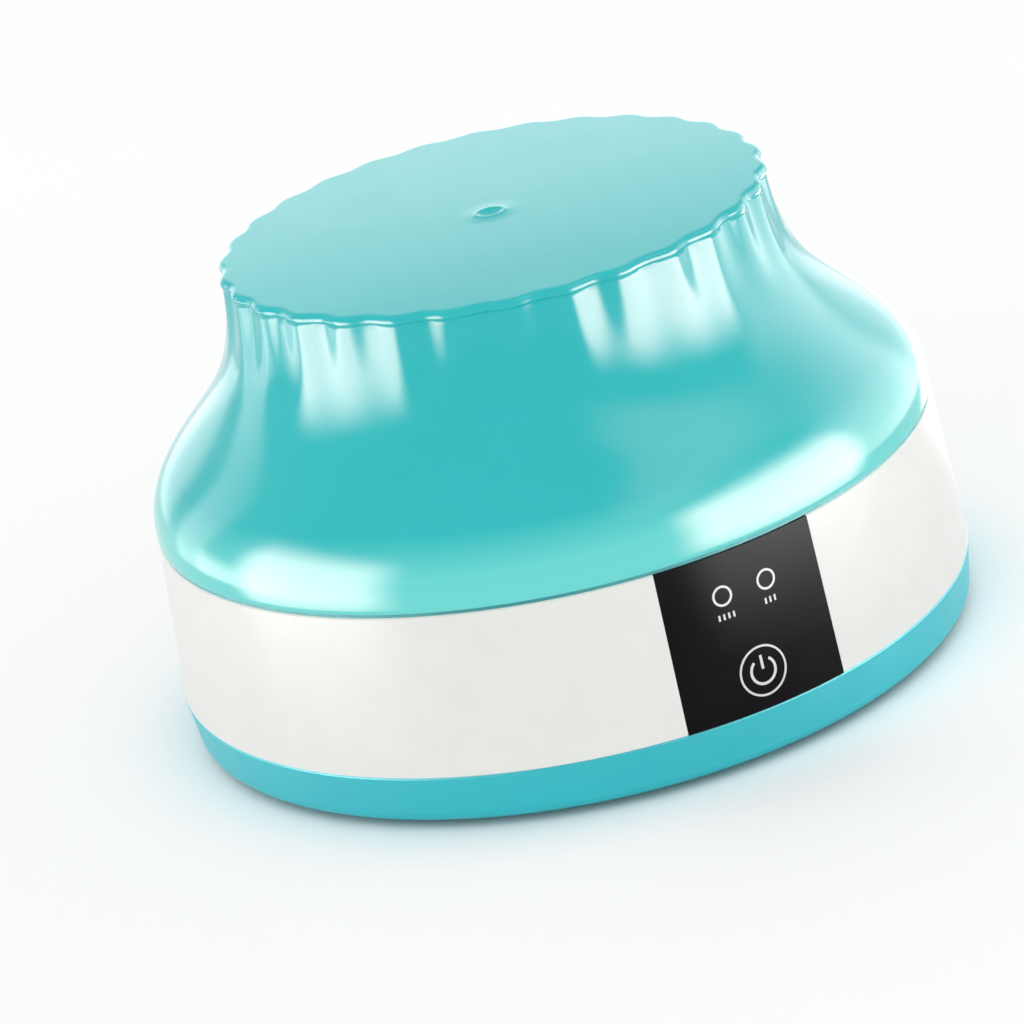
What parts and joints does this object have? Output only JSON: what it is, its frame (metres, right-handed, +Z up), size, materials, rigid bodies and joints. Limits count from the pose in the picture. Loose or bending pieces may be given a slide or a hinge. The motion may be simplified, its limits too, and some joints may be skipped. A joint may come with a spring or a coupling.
{
  "type": "vibratory rock tumbler",
  "caption": "Small bench vibratory rock tumbler: round white housing with touch panel, teal base, and a fluted bell hood over a sprung ring bowl.",
  "frame": {"origin": "on the floor, under the centre of the round body", "axes": "+Z up along the drum's axis; -Y is the front, where the control panel is; +X is the machine's left, to the right of someone facing it"},
  "size_m": [0.18, 0.18, 0.1076],
  "materials": {
    "hood_teal": "clear-tinted gloss moulding",
    "base_teal": "gloss moulding",
    "band_white": "satin gloss moulding",
    "deck_white": "fine texture",
    "seal_rubber": "silicone, satin",
    "panel_black": "high gloss",
    "print_white": "screen printed",
    "rubber_black": "matte",
    "cushion_rubber": "matte",
    "screw_steel": "zinc plated",
    "clear_guide": "clear acrylic",
    "pad_foam": "conductive foam",
    "board_green": "solder mask",
    "lamp_white": "clear resin",
    "socket_white": "nylon",
    "chip_black": "moulded epoxy",
    "capacitor_blue": "sleeved can",
    "inlet_black": "moulded",
    "nickel": "nickel plated",
    "locknut_black": "moulded",
    "lead_black": "PVC sleeve",
    "spring_steel": "drawn wire",
    "plate_steel": "zinc plated sheet",
    "motor_steel": "drawn can",
    "bronze": "sintered bronze",
    "stud_steel": "turned",
    "bowl_grey": "satin moulding",
    "shaft_steel": "ground",
    "weight_brass": "turned",
    "knob_teal": "gloss moulding",
    "insert_brass": "turned"
  },
  "bodies": {
    "housing": {"base_cover": "base_teal", "rubber_feet": "rubber_black", "base_screws": "screw_steel", "housing_band": "band_white", "splash_deck": "deck_white", "lower_spring_seats": "rubber_black", "control_panel": "panel_black", "panel_legends": "print_white", "light_guides": "clear_guide", "touch_pad": "pad_foam", "control_board": "board_green", "board_screws": "screw_steel", "board_lamps": "lamp_white", "board_sockets": "socket_white", "motor_plug": "socket_white", "inlet_plug": "socket_white", "driver_chip": "chip_black", "smoothing_capacitor": "capacitor_blue", "dc_inlet": "inlet_black", "inlet_pin": "nickel", "inlet_locknut": "locknut_black", "inlet_tags": "nickel", "inlet_lead": "lead_black", "motor_lead": "lead_black"},
    "suspension": {"coil_springs": "spring_steel"},
    "drive": {"upper_spring_seats": "rubber_black", "drive_plate": "plate_steel", "vibration_motor": "motor_steel", "motor_bush": "bronze", "motor_terminals": "nickel", "motor_screws": "screw_steel", "bowl_cushion": "cushion_rubber", "bowl_stud": "stud_steel", "bowl": "bowl_grey"},
    "rotor": {"motor_shaft": "shaft_steel", "eccentric_weight": "weight_brass", "weight_grub_screw": "screw_steel"},
    "washer": {"clamp_washer": "stud_steel"},
    "knob": {"clamp_knob": "knob_teal", "knob_insert": "insert_brass"},
    "seal": {"lid_seal": "seal_rubber"},
    "hood": {"hood": "hood_teal"}
  },
  "joints": [
    {"name": "suspension_rock", "type": "hinge", "parent": "housing", "child": "suspension", "pos_m": [0, 0, 0.008], "axis": [1, 0, 0], "range_deg": [-1, 1], "stiffness_Nm_per_rad": 8},
    {"name": "suspension_bounce", "type": "slide", "parent": "suspension", "child": "drive", "axis": [0, 0, 1], "range_m": [-0.0015, 0.0015], "stiffness_N_per_m": 6000, "springref_m": 0.0007, "deforming": ["coil_springs", "motor_lead"]},
    {"name": "weight_spin", "type": "hinge", "parent": "drive", "child": "rotor", "pos_m": [0, 0, 0.0135], "axis": [0, 0, 1], "continuous": true},
    {"name": "knob_rise", "type": "slide", "parent": "drive", "child": "washer", "axis": [0, 0, 1], "range_m": [0, 0.0066]},
    {"name": "knob_turn", "type": "hinge", "parent": "washer", "child": "knob", "pos_m": [0, 0, 0.079], "axis": [0, 0, 1], "range_deg": [0, 2340]},
    {"name": "hood_lift", "type": "slide", "parent": "housing", "child": "seal", "axis": [0, 0, 1], "range_m": [0, 0.11]},
    {"name": "hood_turn", "type": "hinge", "parent": "seal", "child": "hood", "pos_m": [0, 0, 0.0504], "axis": [0, 0, 1], "range_deg": [-22, 0]}
  ],
  "couplings": [
    {"joint": "knob_rise", "follows": "knob_turn", "m_per_rad": 0.00015915}
  ]
}
